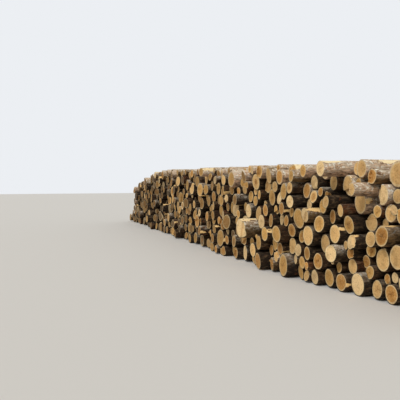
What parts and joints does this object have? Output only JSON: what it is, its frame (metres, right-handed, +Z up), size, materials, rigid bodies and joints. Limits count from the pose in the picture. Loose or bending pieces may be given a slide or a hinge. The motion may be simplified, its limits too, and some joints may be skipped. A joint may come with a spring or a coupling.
{
  "type": "heap of logs",
  "caption": "Long heap of unpeeled pine sawlogs, laid parallel and one log deep, with ragged sawn ends and sloping heap ends.",
  "frame": {"origin": "middle of the heap's footprint, on the ground", "axes": "+X along the row of cut ends towards the near end, +Y along the logs into the heap, +Z up; the cut ends that the picture shows face -Y"},
  "size_m": [16.174, 4.5752, 1.8528],
  "materials": {
    "unpeeled_pine": "rough bark, sawn ends"
  },
  "bodies": {
    "root": {"bay_01_lower_logs": "unpeeled_pine", "bay_01_upper_logs": "unpeeled_pine", "bay_02_lower_logs": "unpeeled_pine", "bay_02_upper_logs": "unpeeled_pine", "bay_03_lower_logs": "unpeeled_pine", "bay_03_upper_logs": "unpeeled_pine", "bay_04_lower_logs": "unpeeled_pine", "bay_04_upper_logs": "unpeeled_pine", "bay_05_lower_logs": "unpeeled_pine", "bay_05_upper_logs": "unpeeled_pine", "bay_06_lower_logs": "unpeeled_pine", "bay_06_upper_logs": "unpeeled_pine", "bay_07_lower_logs": "unpeeled_pine", "bay_07_upper_logs": "unpeeled_pine", "bay_08_lower_logs": "unpeeled_pine", "bay_08_upper_logs": "unpeeled_pine", "bay_09_lower_logs": "unpeeled_pine", "bay_09_upper_logs": "unpeeled_pine", "bay_10_lower_logs": "unpeeled_pine", "bay_10_upper_logs": "unpeeled_pine", "bay_11_lower_logs": "unpeeled_pine", "bay_11_upper_logs": "unpeeled_pine", "bay_12_lower_logs": "unpeeled_pine", "bay_12_upper_logs": "unpeeled_pine"}
  },
  "joints": []
}
